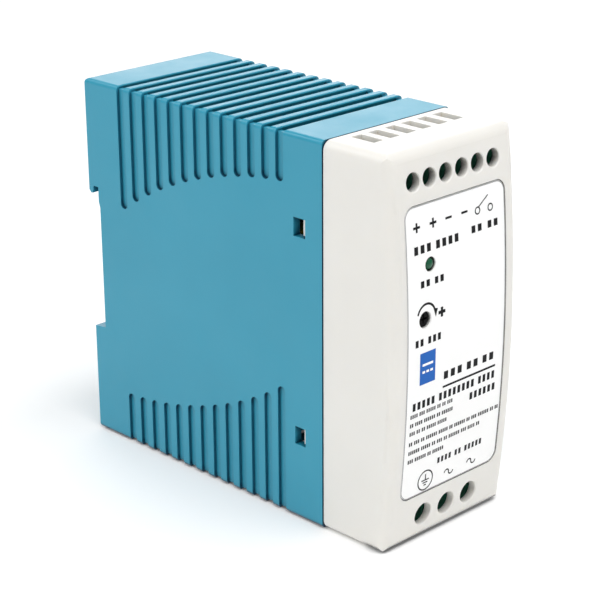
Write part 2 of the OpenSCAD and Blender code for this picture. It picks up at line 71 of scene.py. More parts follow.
# ---------------------------------------------------------------- named sizes
FRONT_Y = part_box("front_cover")[0].y
FRONT_R = 341 * MM
LABEL_SET = 0.15 * MM
INK = 0.02 * MM
CREVICE = 2.5 * MM
HAZE_DEPTH = 2.5 * MM
HAZE_COLOUR = (1.0, 0.92, 0.8)


def front_at(z, set_back=0.0):
    """Y of the curved front face at a height, set back towards the inside."""
    r = FRONT_R - set_back
    return FRONT_Y + FRONT_R - math.sqrt(r * r - z * z)


# ---------------------------------------------------------------- node helpers
def new_material(name):
    mat = bpy.data.materials.new(name)
    mat.use_nodes = True
    tree = mat.node_tree
    tree.nodes.clear()
    out = tree.nodes.new("ShaderNodeOutputMaterial")
    bsdf = tree.nodes.new("ShaderNodeBsdfPrincipled")
    tree.links.new(bsdf.outputs["BSDF"], out.inputs["Surface"])
    return mat, tree, bsdf


def noise(tree, coords, scale, detail=4.0, rough=0.55):
    n = tree.nodes.new("ShaderNodeTexNoise")
    n.inputs["Scale"].default_value = scale
    n.inputs["Detail"].default_value = detail
    n.inputs["Roughness"].default_value = rough
    tree.links.new(coords, n.inputs["Vector"])
    return n.outputs["Fac"]


def ramp(tree, fac, low, high, a, b):
    n = tree.nodes.new("ShaderNodeMapRange")
    n.inputs["From Min"].default_value = low
    n.inputs["From Max"].default_value = high
    n.inputs["To Min"].default_value = a
    n.inputs["To Max"].default_value = b
    tree.links.new(fac, n.inputs["Value"])
    return n.outputs["Result"]


def mix_colour(tree, fac, a, b):
    n = tree.nodes.new("ShaderNodeMix")
    n.data_type = "RGBA"
    tree.links.new(fac, n.inputs["Factor"])
    for socket, value in ((n.inputs["A"], a), (n.inputs["B"], b)):
        if hasattr(value, "is_output"):
            tree.links.new(value, socket)
        else:
            socket.default_value = (*value, 1.0)
    return n.outputs["Result"]


def bump(tree, height, strength, distance, normal=None):
    n = tree.nodes.new("ShaderNodeBump")
    n.inputs["Strength"].default_value = strength
    n.inputs["Distance"].default_value = distance
    tree.links.new(height, n.inputs["Height"])
    if normal is not None:
        tree.links.new(normal, n.inputs["Normal"])
    return n.outputs["Normal"]


def object_coords(tree):
    return tree.nodes.new("ShaderNodeTexCoord").outputs["Object"]


def paint_crevice_shade(tree, base, colour, reach, low, high):
    """Paints shade into a colour where the surface is closed in by its neighbours, as in a slot or a seam."""
    hollow = tree.nodes.new("ShaderNodeAmbientOcclusion")
    hollow.samples = 8
    hollow.inputs["Distance"].default_value = reach
    return mix_colour(tree, ramp(tree, hollow.outputs["AO"], low, high, 0.0, 1.0), colour, base)


def moulded(name, colour, dark, rough=0.42, grain=0.012, specular=0.5, coat=0.0, painted_shade=None, haze=0.0):
    """Moulded plastic: spark-eroded grain, faint flow clouds and slightly worn patches.

    painted_shade is the colour of the shade painted into slots and seams, and haze is how far light soaks
    into it.
    """
    mat, tree, bsdf = new_material(name)
    at = object_coords(tree)
    clouds = noise(tree, at, 35, 3)
    fine = noise(tree, at, 1500, 2)
    speck = noise(tree, at, 4200, 1)
    base = mix_colour(tree, ramp(tree, clouds, 0.3, 0.7, 0.0, 1.0), dark, colour)
    # Painted shade: the base colour is darkened in slots and seams by how closed in the surface is.
    if painted_shade:
        base = paint_crevice_shade(tree, base, painted_shade, CREVICE, 0.35, 0.85)
    tree.links.new(base, bsdf.inputs["Base Color"])
    patch = noise(tree, at, 90, 5)
    tree.links.new(ramp(tree, patch, 0.3, 0.75, rough - 0.05, rough + 0.07), bsdf.inputs["Roughness"])
    both = tree.nodes.new("ShaderNodeMath")
    both.operation = "ADD"
    tree.links.new(fine, both.inputs[0])
    tree.links.new(speck, both.inputs[1])
    tree.links.new(bump(tree, both.outputs[0], 0.35, grain * MM), bsdf.inputs["Normal"])
    bsdf.inputs["Specular IOR Level"].default_value = specular
    bsdf.inputs["Coat Weight"].default_value = coat
    bsdf.inputs["Subsurface Weight"].default_value = haze
    bsdf.inputs["Subsurface Radius"].default_value = HAZE_COLOUR
    bsdf.inputs["Subsurface Scale"].default_value = HAZE_DEPTH
    return mat


def paint_shade_in_front_holes(mat, colour, reach=5 * MM, start=-87 * MM, full=-89 * MM):
    """Paints shade on the walls of the holes in the front face, darker where the hole closes in. The entries
    further back keep their colour.
    """
    tree = mat.node_tree
    base = tree.nodes["Principled BSDF"].inputs["Base Color"]
    split = tree.nodes.new("ShaderNodeSeparateXYZ")
    tree.links.new(object_coords(tree), split.inputs["Vector"])
    plain = base.links[0].from_socket
    shaded = paint_crevice_shade(tree, plain, colour, reach, 0.25, 0.54)
    near_front = ramp(tree, split.outputs["Y"], full, start, 1.0, 0.0)
    tree.links.new(mix_colour(tree, near_front, plain, shaded), base)


def metal(name, colour, dark, rough=0.3, scale=(60, 60, 60)):
    """Bare metal with fine streaks in colour, gloss and height."""
    mat, tree, bsdf = new_material(name)
    at = object_coords(tree)
    stretch = tree.nodes.new("ShaderNodeMapping")
    stretch.inputs["Scale"].default_value = scale
    tree.links.new(at, stretch.inputs["Vector"])
    streaks = noise(tree, stretch.outputs["Vector"], 40, 5)
    base = mix_colour(tree, ramp(tree, streaks, 0.35, 0.65, 0.0, 1.0), dark, colour)
    tree.links.new(base, bsdf.inputs["Base Color"])
    tree.links.new(ramp(tree, streaks, 0.3, 0.7, rough - 0.08, rough + 0.12), bsdf.inputs["Roughness"])
    tree.links.new(bump(tree, streaks, 0.2, 0.01 * MM), bsdf.inputs["Normal"])
    bsdf.inputs["Metallic"].default_value = 1.0
    return mat


MAT = {
    # Painted shade: the shell turns near-black navy in its slots, grooves and seams.
    "shell_blue": moulded(
        "shell_blue", (0.022, 0.297, 0.432), (0.018, 0.28, 0.41), 0.36, 0.014, painted_shade=(0.0, 0.012, 0.045)
    ),
    "cover_white": moulded("cover_white", (0.80, 0.785, 0.745), (0.77, 0.755, 0.715), 0.4, 0.012, haze=0.35),
    "label": moulded("label", (0.972, 0.972, 0.967), (0.966, 0.966, 0.961), 0.38, 0.001, 0.35),
    "latch_blue": moulded("latch_blue", (0.032, 0.28, 0.40), (0.028, 0.25, 0.36), 0.4, 0.012),
    "spring_steel": metal("spring_steel", (0.62, 0.62, 0.64), (0.45, 0.45, 0.47), 0.28),
    "board": moulded("board", (0.03, 0.2, 0.07), (0.02, 0.14, 0.05), 0.3, 0.01),
    "black_plastic": moulded("black_plastic", (0.03, 0.03, 0.032), (0.02, 0.02, 0.022), 0.45, 0.01),
    "insulation": moulded("insulation", (0.62, 0.58, 0.45), (0.55, 0.5, 0.38), 0.5, 0.01),
    "terminal_green": moulded("terminal_green", (0.02, 0.13, 0.075), (0.012, 0.1, 0.055), 0.4, 0.01),
    "copper": metal("copper", (0.75, 0.6, 0.42), (0.6, 0.45, 0.3), 0.3),
    "lens_green": moulded("lens_green", (0.006, 0.1, 0.045), (0.005, 0.08, 0.035), 0.15, 0.0, 0.35),
    "spacer_plastic": moulded("spacer_plastic", (0.7, 0.7, 0.68), (0.62, 0.62, 0.6), 0.45, 0.01),
    "tinned_wire": metal("tinned_wire", (0.68, 0.68, 0.68), (0.5, 0.5, 0.5), 0.3),
    "trimmer_blue": moulded("trimmer_blue", (0.03, 0.1, 0.35), (0.02, 0.08, 0.28), 0.4, 0.01),
    "trimmer_rotor": moulded("trimmer_rotor", (0.006, 0.006, 0.007), (0.004, 0.004, 0.005), 0.6, 0.01, 0.12),
    "ferrite": moulded("ferrite", (0.05, 0.05, 0.055), (0.03, 0.03, 0.033), 0.55, 0.03),
    "winding": moulded("winding", (0.75, 0.5, 0.06), (0.62, 0.4, 0.05), 0.35, 0.01),
    "capacitor_can": moulded("capacitor_can", (0.02, 0.025, 0.05), (0.014, 0.018, 0.04), 0.25, 0.005),
    "film_capacitor": moulded("film_capacitor", (0.75, 0.5, 0.03), (0.66, 0.43, 0.03), 0.4, 0.01),
    "disc_blue": moulded("disc_blue", (0.02, 0.13, 0.42), (0.015, 0.1, 0.34), 0.3, 0.02),
    "disc_green": moulded("disc_green", (0.02, 0.07, 0.045), (0.012, 0.05, 0.03), 0.5, 0.03),
    "heatsink": metal("heatsink", (0.7, 0.7, 0.72), (0.55, 0.55, 0.57), 0.35, (10, 120, 120)),
    "screw_steel": metal("screw_steel", (0.7, 0.7, 0.72), (0.5, 0.5, 0.52), 0.25),
    "cage_steel": metal("cage_steel", (0.66, 0.66, 0.68), (0.48, 0.48, 0.5), 0.3),
    "white_plastic": moulded("white_plastic", (0.75, 0.75, 0.73), (0.68, 0.68, 0.66), 0.4, 0.01),
}

# Painted shade: the walls inside the holes of the cover's front face turn near-black.
paint_shade_in_front_holes(MAT["cover_white"], (0.03, 0.033, 0.028))

SLOT_OF = {s["node"]: s["material_slot"] for s in frame["record"]["subparts"]}
for name, obj in NODES.items():
    obj.data.materials.clear()
    obj.data.materials.append(MAT[SLOT_OF[name]])
    for poly in obj.data.polygons:
        poly.material_index = 0

# ---------------------------------------------------------------- label artwork
INK_BLACK = moulded("ink_black", (0.004, 0.004, 0.005), (0.007, 0.007, 0.008), 0.6, 0.001, 0.2)
INK_BLUE = moulded("ink_blue", (0.0, 0.12, 0.5), (0.0, 0.1, 0.43), 0.5, 0.001, 0.3)
INK_GREY = moulded("ink_grey", (0.02, 0.02, 0.022), (0.03, 0.03, 0.032), 0.6, 0.001, 0.2)
LABEL_EDGE_SHADE = moulded("label_edge_shade", (0.34, 0.34, 0.345), (0.38, 0.38, 0.385), 0.6, 0.001, 0.2)


def clipped(outline, level, above):
    """Convex outline with everything on one side of a height cut away."""
    out = []
    for (xa, za), (xb, zb) in zip(outline, outline[1:] + outline[:1]):
        if (za >= level) == above or za == level:
            out.append((xa, za))
        if (za - level) * (zb - level) < 0:
            t = (level - za) / (zb - za)
            out.append((xa + t * (xb - xa), level))
    return out


def print_and_shade_on_label(name, outlines, mat, band=1.0, set_off=1):
    """Thin patches on the curved label: printed ink, and the painted shade line round its edge. Each outline
    is convex, in x and z millimetres.
    """
    bm = bmesh.new()
    for outline in outlines:
        z0, z1 = min(z for _, z in outline), max(z for _, z in outline)
        steps = max(1, math.ceil((z1 - z0) / band))
        for k in range(steps):
            low, high = (z0 + (z1 - z0) * j / steps for j in (k, k + 1))
            piece = clipped(outline, low, True) if k else outline
            piece = clipped(piece, high, False) if k < steps - 1 else piece
            if len(piece) > 2:
                bm.faces.new([bm.verts.new((x * MM, 0.0, z * MM)) for x, z in piece])
    bmesh.ops.remove_doubles(bm, verts=bm.verts, dist=1e-7)
    for v in bm.verts:
        v.co.y = front_at(v.co.z) + LABEL_SET - INK * set_off
    for f in bm.faces:
        f.normal_update()
        if f.normal.y > 0:
            f.normal_flip()
    mesh = bpy.data.meshes.new(name)
    bm.to_mesh(mesh)
    bm.free()
    obj = bpy.data.objects.new(name, mesh)
    bpy.context.scene.collection.objects.link(obj)
    mesh.materials.append(mat)
    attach(obj, "case")
    return obj


def bar(x0, x1, z0, z1):
    return [(x0, z0), (x1, z0), (x1, z1), (x0, z1)]


def stroke(x0, z0, x1, z1, w):
    """Straight line of a given width."""
    dx, dz = x1 - x0, z1 - z0
    n = math.hypot(dx, dz)
    px, pz = -dz / n * w / 2, dx / n * w / 2
    return [(x0 - px, z0 - pz), (x1 - px, z1 - pz), (x1 + px, z1 + pz), (x0 + px, z0 + pz)]


def arc(cx, cz, r, a0, a1, w, steps):
    """Arc of a given line width, as a row of four-sided pieces."""
    out = []
    for k in range(steps):
        a, b = (math.radians(a0 + (a1 - a0) * (k + j) / steps) for j in (0, 1))
        out.append([
            (cx + (r - w / 2) * math.cos(a), cz + (r - w / 2) * math.sin(a)),
            (cx + (r + w / 2) * math.cos(a), cz + (r + w / 2) * math.sin(a)),
            (cx + (r + w / 2) * math.cos(b), cz + (r + w / 2) * math.sin(b)),
            (cx + (r - w / 2) * math.cos(b), cz + (r - w / 2) * math.sin(b)),
        ])
    return out


def plus(cx, cz, size, w):
    h, k = size / 2, w / 2
    across = bar(cx - h, cx + h, cz - k, cz + k)
    return [across, bar(cx - k, cx + k, cz + k, cz + h), bar(cx - k, cx + k, cz - h, cz - k)]


def words(x0, x1, z0, z1, lengths, gap):
    """A line of words, each a row of small plain blocks, spread over a width."""
    scale = (x1 - x0 - gap * (len(lengths) - 1)) / sum(lengths)
    out, x = [], x0
    for n in lengths:
        for k in range(n):
            out.append(bar(x + (k + 0.2) * scale, x + (k + 0.8) * scale, z0, z1))
        x += n * scale + gap
    return out


marks = []
marks += plus(-12.4, 28.7, 2.1, 0.55)
marks += plus(-7.3, 28.7, 2.1, 0.55)
marks += [bar(-3.4, -1.4, 28.45, 28.95), bar(1.7, 3.7, 28.45, 28.95)]
marks += arc(6.95, 28.08, 0.75, 0, 360, 0.3, 20)
marks += arc(11.14, 27.96, 0.75, 0, 360, 0.3, 20)
marks += [stroke(7.25, 28.72, 10.47, 30.85, 0.28)]
marks += words(4.4, 13.8, 23.5, 25.1, [2, 2], 1.2)
marks += words(-13.8, 0.9, 22.9, 24.7, [3, 4], 0.9)
marks += words(-12.0, -4.1, 15.4, 16.9, [2, 2], 0.9)
marks += arc(-10.0, 8.9, 2.75, 165, 10, 0.5, 22)
marks += [[(-7.8, 10.1), (-6.4, 9.8), (-7.05, 8.0)]]
marks += plus(-5.1, 8.6, 2.2, 0.75)
marks += words(-13.7, -5.1, 2.5, 4.1, [2, 3], 0.9)
marks += words(-4.5, 12.9, -7.3, -5.5, [3, 2, 2], 0.8)
marks += [bar(-4.3, 13.3, -9.3, -8.8)]
marks += words(-14.1, 13.4, -12.0, -10.2, [5, 8, 4], 0.9)
marks += words(4.7, 13.8, -15.0, -13.3, [6], 0.8)
print_and_shade_on_label("label_print", marks, INK_BLACK)

small = []
rng = random.Random(7)
for z, x1 in ((-13.2, -1.0), (-15.25, -0.9), (-17.25, -2.4), (-19.7, 15.0), (-21.85, 8.9), (-23.95, -1.7)):
    x = -14.4
    while x < x1 - 0.6:
        n = rng.randint(2, 6)
        for _ in range(n):
            if x < x1:
                small.append(bar(x, x + 0.42, z - 0.45, z + 0.45))
            x += 0.62
        x += 0.4
small += words(-4.7, 10.6, -27.5, -26.1, [4, 2, 5], 0.8)
print_and_shade_on_label("label_small_print", small, INK_GREY)

earth = arc(-8.0, -30.4, 2.35, 0, 360, 0.32, 32)
earth += [
    bar(-8.16, -7.84, -30.2, -28.9),
    bar(-9.25, -6.75, -30.5, -30.2),
    bar(-8.8, -7.2, -31.1, -30.8),
    bar(-8.4, -7.6, -31.7, -31.4),
]
for x in (-0.2, 7.4):
    earth += arc(x - 0.7, -30.9, 0.72, 0, 180, 0.32, 10)
    earth += arc(x + 0.7, -30.9, 0.72, 180, 360, 0.32, 10)
print_and_shade_on_label("terminal_marks", earth, INK_BLACK)

print_and_shade_on_label("supply_square", [bar(-11.9, -6.95, -6.5, 0.8)], INK_BLUE)
signs = [bar(-11.1, -7.75, -2.3, -1.75)]
signs += [bar(-11.1 + k * 1.25, -10.25 + k * 1.25, -3.95, -3.4) for k in range(3)]
print_and_shade_on_label("supply_sign", signs, MAT["label"], set_off=2)


def frame_line(half_w, half_h, r, w, steps=8):
    """Line of quads round a rectangle with round corners."""
    outer, inner = [], []
    for sx, sz, start in ((1, 1, 0), (-1, 1, 90), (-1, -1, 180), (1, -1, 270)):
        for k in range(steps + 1):
            a = math.radians(start + 90 * k / steps)
            cx, cz = sx * (half_w - r), sz * (half_h - r)
            outer.append((cx + r * math.cos(a), cz + r * math.sin(a)))
            inner.append((cx + (r - w) * math.cos(a), cz + (r - w) * math.sin(a)))
    n = len(outer)
    return [[outer[k], outer[(k + 1) % n], inner[(k + 1) % n], inner[k]] for k in range(n)]


# Painted shade: a grey line just inside the label's edge stands for the shade along the edge of its recess.
LABEL_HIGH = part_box("front_label")[1]
edge_line = frame_line(LABEL_HIGH.x / MM - 0.05, LABEL_HIGH.z / MM - 0.05, 2.55, 0.2)
print_and_shade_on_label("label_edge_line", edge_line, LABEL_EDGE_SHADE)

# ---------------------------------------------------------------- mesh helpers, in millimetres
def link(name, bm, mat, body="case", smooth=False):
    """Turns a mesh drawn in millimetres into a piece that rides on a body."""
    bmesh.ops.scale(bm, vec=(MM, MM, MM), verts=bm.verts)
    bmesh.ops.recalc_face_normals(bm, faces=bm.faces)
    for f in bm.faces:
        f.smooth = smooth
    mesh = bpy.data.meshes.new(name)
    bm.to_mesh(mesh)
    bm.free()
    mesh.materials.append(mat)
    obj = bpy.data.objects.new(name, mesh)
    bpy.context.scene.collection.objects.link(obj)
    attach(obj, body)
    return obj


def block(bm, low, high, edge=0.08):
    """Box with softened edges."""
    low, high = Vector(low), Vector(high)
    size = high - low
    out = bmesh.ops.create_cube(bm, size=1.0)
    bmesh.ops.scale(bm, vec=size, verts=out["verts"])
    bmesh.ops.translate(bm, vec=(low + high) / 2, verts=out["verts"])
    edges = list({e for v in out["verts"] for e in v.link_edges})
    edge = min(edge, min(size) * 0.3)
    bmesh.ops.bevel(bm, geom=edges, offset=edge, segments=2, profile=0.6, affect="EDGES")


def lathe(bm, origin, axis, profile, sides=32):
    """Turns a list of (radius, height) round an axis through a point. Ends with radius 0 are closed."""
    axis = Vector(axis).normalized()
    u = axis.orthogonal().normalized()
    v = axis.cross(u)
    origin = Vector(origin)
    rings = []
    for r, h in profile:
        centre = origin + axis * h
        if r < 1e-6:
            rings.append([bm.verts.new(centre)])
            continue
        turn = [2 * math.pi * k / sides for k in range(sides)]
        rings.append([bm.verts.new(centre + (u * math.cos(t) + v * math.sin(t)) * r) for t in turn])
    for a, b in zip(rings, rings[1:]):
        for k in range(sides):
            n = (k + 1) % sides
            if len(a) == 1 and len(b) > 1:
                bm.faces.new((a[0], b[k], b[n]))
            elif len(b) == 1 and len(a) > 1:
                bm.faces.new((a[k], a[n], b[0]))
            elif len(a) > 1:
                bm.faces.new((a[k], a[n], b[n], b[k]))


def tube(bm, points, r, sides=8, closed=False):
    """Round wire through a list of points."""
    points = [Vector(p) for p in points]
    n = len(points)
    rings = []
    side = None
    for k, p in enumerate(points):
        before = points[(k - 1) % n] if closed or k else p
        after = points[(k + 1) % n] if closed or k < n - 1 else p
        along = (after - before).normalized()
        if side is None:
            side = along.orthogonal().normalized()
        side = (side - along * side.dot(along)).normalized()
        up = along.cross(side)
        turn = [2 * math.pi * j / sides for j in range(sides)]
        rings.append([bm.verts.new(p + (side * math.cos(t) + up * math.sin(t)) * r) for t in turn])
    pairs = list(zip(rings, rings[1:] + rings[:1])) if closed else list(zip(rings, rings[1:]))
    for a, b in pairs:
        for j in range(sides):
            m = (j + 1) % sides
            bm.faces.new((a[j], a[m], b[m], b[j]))
    if not closed:
        bm.faces.new(rings[0])
        bm.faces.new(rings[-1])


def rounded_loop(u0, u1, v0, v1, r, steps=4):
    """Closed outline of a rectangle with round corners."""
    out = []
    corners = ((u1 - r, v1 - r, 0), (u0 + r, v1 - r, 90), (u0 + r, v0 + r, 180), (u1 - r, v0 + r, 270))
    for cu, cv, start in corners:
        for k in range(steps + 1):
            a = math.radians(start + 90 * k / steps)
            out.append((cu + r * math.cos(a), cv + r * math.sin(a)))
    return out


# ---------------------------------------------------------------- soft edges on the mouldings
def soften(name, width):
    mod = NODES[name].modifiers.new("soft_edges", "BEVEL")
    mod.width = width * MM
    mod.segments = 2
    mod.limit_method = "ANGLE"
    mod.angle_limit = math.radians(40)
    mod.use_clamp_overlap = True
    mod.harden_normals = False


# ---------------------------------------------------------------- screws and clamps
OUT_PITCH, IN_PITCH = 5.08, 7.62
OUT_X = [(i - 2.5) * OUT_PITCH for i in range(6)]
IN_X = [(i - 1) * IN_PITCH for i in range(3)]
OUT_Z, IN_Z = 38.4, -39.0
THREAD_Y = (-85.9, -81.2)
HEAD_Y = -88.62
CLAMP_Y = -77.12


def thread(name, body, x, z, r, pitch):
    """Right-handed ridge round a terminal screw's shank."""
    steps = 14
    y0, turns = THREAD_Y[0], (THREAD_Y[1] - THREAD_Y[0]) / pitch
    points = []
    for k in range(int(turns * steps) + 1):
        t = 2 * math.pi * k / steps
        points.append((x + r * math.sin(t), y0 + pitch * k / steps, z + r * math.cos(t)))
    bm = bmesh.new()
    tube(bm, points, pitch * 0.27, 5)
    link(name, bm, MAT["screw_steel"], body, True)


def head_ring(name, body, x, z, r):
    """Rounded rim of a screw head, with a shallow washer step behind it."""
    bm = bmesh.new()
    rim = [(r - 0.32, 0.03), (r - 0.3, 0), (r - 0.1, 0.06)]
    side = [(r + 0.02, 0.24), (r + 0.02, 2.0), (r - 0.06, 2.2)]
    lathe(bm, (x, HEAD_Y, z), (0, 1, 0), rim + side, 36)
    link(name, bm, MAT["screw_steel"], body, True)


for i, x in enumerate(OUT_X, 1):
    thread(f"output_thread_{i}", f"output_screw_{i}", x, OUT_Z, 1.48, 0.5)
    head_ring(f"output_head_rim_{i}", f"output_screw_{i}", x, OUT_Z, 1.9)
for i, x in enumerate(IN_X, 1):
    thread(f"input_thread_{i}", f"input_screw_{i}", x, IN_Z, 1.72, 0.6)
    head_ring(f"input_head_rim_{i}", f"input_screw_{i}", x, IN_Z, 2.4)

for tag, xs, z, half in (("output", OUT_X, OUT_Z, 1.45), ("input", IN_X, IN_Z, 2.25)):
    for i, x in enumerate(xs, 1):
        bm = bmesh.new()
        for k in range(-2, 3):
            tube(bm, [(x - half, CLAMP_Y, z + k * 0.8), (x + half, CLAMP_Y, z + k * 0.8)], 0.12, 6)
        link(f"{tag}_clamp_ridges_{i}", bm, MAT["cage_steel"], f"{tag}_cage_{i}", True)

# ---------------------------------------------------------------- latch spring
SPRING_LOW, SPRING_TOP, SPRING_R, WIRE_R, TURNS = -31.6, -22.5, 1.45, 0.22, 6
bm = bmesh.new()
spring = []
for k in range(TURNS * 24 + 1):
    t = k / 24
    ease = min(1.0, max(0.0, (t - 0.5) / (TURNS - 1)))
    a = 2 * math.pi * t
    rise = SPRING_TOP - SPRING_LOW - 2 * WIRE_R
    spring.append((SPRING_R * math.cos(a), 0.9 + SPRING_R * math.sin(a), SPRING_LOW + WIRE_R + rise * ease))
tube(bm, spring, WIRE_R, 8)
coil = link("latch_spring_wire", bm, MAT["spring_steel"], "case", True)
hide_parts("latch_spring")
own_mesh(coil)

# ---------------------------------------------------------------- boards: solder, tracks and small parts
BOARD_X = 13.9
SOLDER_X = BOARD_X + 1.6
joints = []
for y in (-45, -41.5, -38, -34.5, -31):
    joints += [(y, -3.2), (y, 11.1)]
joints += [(-10, -28.5), (-20, -28.5)]
joints += [(y + s, 27) for y in (-34.5, -45.2) for s in (-2.5, 2.5)]
joints += [(-52.6, 27), (-56.6, 27), (-67.2, -23.2), (-52.2, -23.2)]
joints += [(-64.5, z + s) for z in (2.5, -7.5) for s in (-2.5, 2.5)]
joints += [(-65.5, -37.5), (-65.5, -32.5)]
joints += [(y, -34.5 + s) for y in (-50.5, -57.5) for s in (-2.5, 2.5)]
joints += [(y, -14.8) for y in (-47, -42, -36, -31)]
joints += [(-16 + k * 2.54, z) for k in (-1, 0, 1) for z in (-12.85, 22.75)]
joints += [(y, z) for y in (-58, -55.5) for z in (8.8, 11.8)]
joints += [(y, z) for y in (-68, -62) for z in (18, 25, 33.5)]
joints += [(y, z) for y in (-8, -24) for z in (-16.1, 19.5)]
joints += [(-42.5, -26), (-33.5, -26), (-42.5, -34), (-33.5, -34)]

SOLDER = metal("solder", (0.66, 0.66, 0.67), (0.5, 0.5, 0.52), 0.25)
cone = [(0, 0), (1.0, 0), (0.85, 0.12), (0.5, 0.45), (0.38, 0.8), (0, 0.85)]
bm = bmesh.new()
for y, z in joints:
    lathe(bm, (SOLDER_X, y, z), (1, 0, 0), cone, 16)
link("board_solder", bm, SOLDER, "case", True)

draw = random.Random(11)
bm = bmesh.new()
for (ya, za), (yb, zb) in zip(joints, joints[1:]):
    h = draw.choice((0.5, 0.8, 1.3)) / 2
    if math.hypot(yb - ya, zb - za) < 22:
        y0, y1, z0, z1 = min(ya, yb) - h, max(ya, yb) + h, min(za, zb) - h, max(za, zb) + h
        block(bm, (SOLDER_X, y0, za - h), (SOLDER_X + 0.05, y1, za + h), 0.01)
        if abs(zb - za) > 0.1:
            block(bm, (SOLDER_X, yb - h, z0), (SOLDER_X + 0.048, yb + h, z1), 0.01)
TRACK = moulded("board_track", (0.045, 0.28, 0.1), (0.035, 0.22, 0.08), 0.28, 0.004)
link("board_tracks", bm, TRACK, "case")

chips, ends = bmesh.new(), bmesh.new()
for row in range(4):
    for k in range(9):
        y = -66 + k * 7.1 + draw.uniform(-0.8, 0.8)
        z = -28 + row * 17.5 + draw.uniform(-1, 1)
        if min(math.hypot(y - a, z - b) for a, b in joints) < 2.4:
            continue
        block(chips, (SOLDER_X, y - 0.7, z - 0.4), (SOLDER_X + 0.45, y + 0.7, z + 0.4), 0.04)
        for s in (-1, 1):
            at = y + s * 0.82
            block(ends, (SOLDER_X, at - 0.2, z - 0.42), (SOLDER_X + 0.47, at + 0.2, z + 0.42), 0.04)
for row in range(3):
    for k in range(4):
        x = 1.5 + k * 3.6 + draw.uniform(-0.4, 0.4)
        z = -16 + row * 9 + draw.uniform(-0.8, 0.8)
        block(chips, (x - 0.7, -73.65, z - 0.4), (x + 0.7, -73.2, z + 0.4), 0.04)
        for s in (-1, 1):
            at = x + s * 0.82
            block(ends, (at - 0.2, -73.67, z - 0.42), (at + 0.2, -73.2, z + 0.42), 0.04)
link("board_chips", chips, MAT["black_plastic"], "case")
link("board_chip_ends", ends, MAT["tinned_wire"], "case")

# ---------------------------------------------------------------- wound parts
COPPER = metal("enamelled_copper", (0.72, 0.33, 0.13), (0.58, 0.24, 0.08), 0.25)
bm = bmesh.new()
for start in (-60, 120):
    for k in range(16):
        a = math.radians(start + 4 + k * 7.47)
        wrap = rounded_loop(4.85, 10.6, -4.6, 4.6, 0.9)
        loop = [(2.6 + u * math.cos(a), -38 + v, -30 + u * math.sin(a)) for u, v in wrap]
        tube(bm, loop, 0.42, 6, closed=True)
for y, z in ((-42.5, -26), (-33.5, -26), (-42.5, -34), (-33.5, -34)):
    tube(bm, [(9.4, y, z), (11.5, y, z), (BOARD_X, y, z)], 0.42, 8)
turns = link("choke_turns", bm, COPPER, "case", True)
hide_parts("choke_winding")

TAPE = moulded("yellow_tape", (0.5, 0.34, 0.03), (0.42, 0.28, 0.02), 0.3, 0.006)
bm = bmesh.new()
for x0, x1, grow in ((-6.7, -2.0, 0.05), (-2.3, 2.9, 0.12), (2.5, 7.7, 0.05)):
    rings = []
    for x, g in ((x0, 0.0), (x0 + 0.1, grow), (x1 - 0.1, grow), (x1, 0.0)):
        loop = rounded_loop(-46.7 - g, -29.3 + g, -5 - g, 13 + g, 1.5)
        rings.append([bm.verts.new((x, u, v)) for u, v in loop])
    for a, b in zip(rings, rings[1:]):
        for k in range(len(a)):
            n = (k + 1) % len(a)
            bm.faces.new((a[k], a[n], b[n], b[k]))
    for ring in (rings[0], rings[-1]):
        bm.faces.new(ring)
link("transformer_tape", bm, TAPE, "case")

bm = bmesh.new()
for y in (-45, -41.5, -38, -34.5, -31):
    for z in (-3.2, 11.1):
        tube(bm, [(8.2, y, z), (9.6, y, z), (BOARD_X, y, z)], 0.35, 8)
link("transformer_pins", bm, MAT["tinned_wire"], "case", True)
bm = bmesh.new()
for y in (-45, -38, -31):
    low = [(7.5, y, -4.2), (8.9, y + 0.2, -5.6), (10.5, y + 0.1, -5.7), (12.2, y, -4.2), (12.9, y, -3.4)]
    high = [(7.5, y, 12.2), (8.9, y + 0.2, 13.6), (10.5, y + 0.1, 13.7), (12.2, y, 12.2), (12.9, y, 11.3)]
    tube(bm, low, 0.28, 8)
    tube(bm, high, 0.28, 8)
link("transformer_leads", bm, COPPER, "case", True)


# ---------------------------------------------------------------- capacitors
ALUMINIUM = metal("can_aluminium", (0.75, 0.76, 0.78), (0.62, 0.63, 0.65), 0.28)
STRIPE = moulded("sleeve_stripe", (0.5, 0.52, 0.55), (0.44, 0.46, 0.49), 0.3, 0.004)


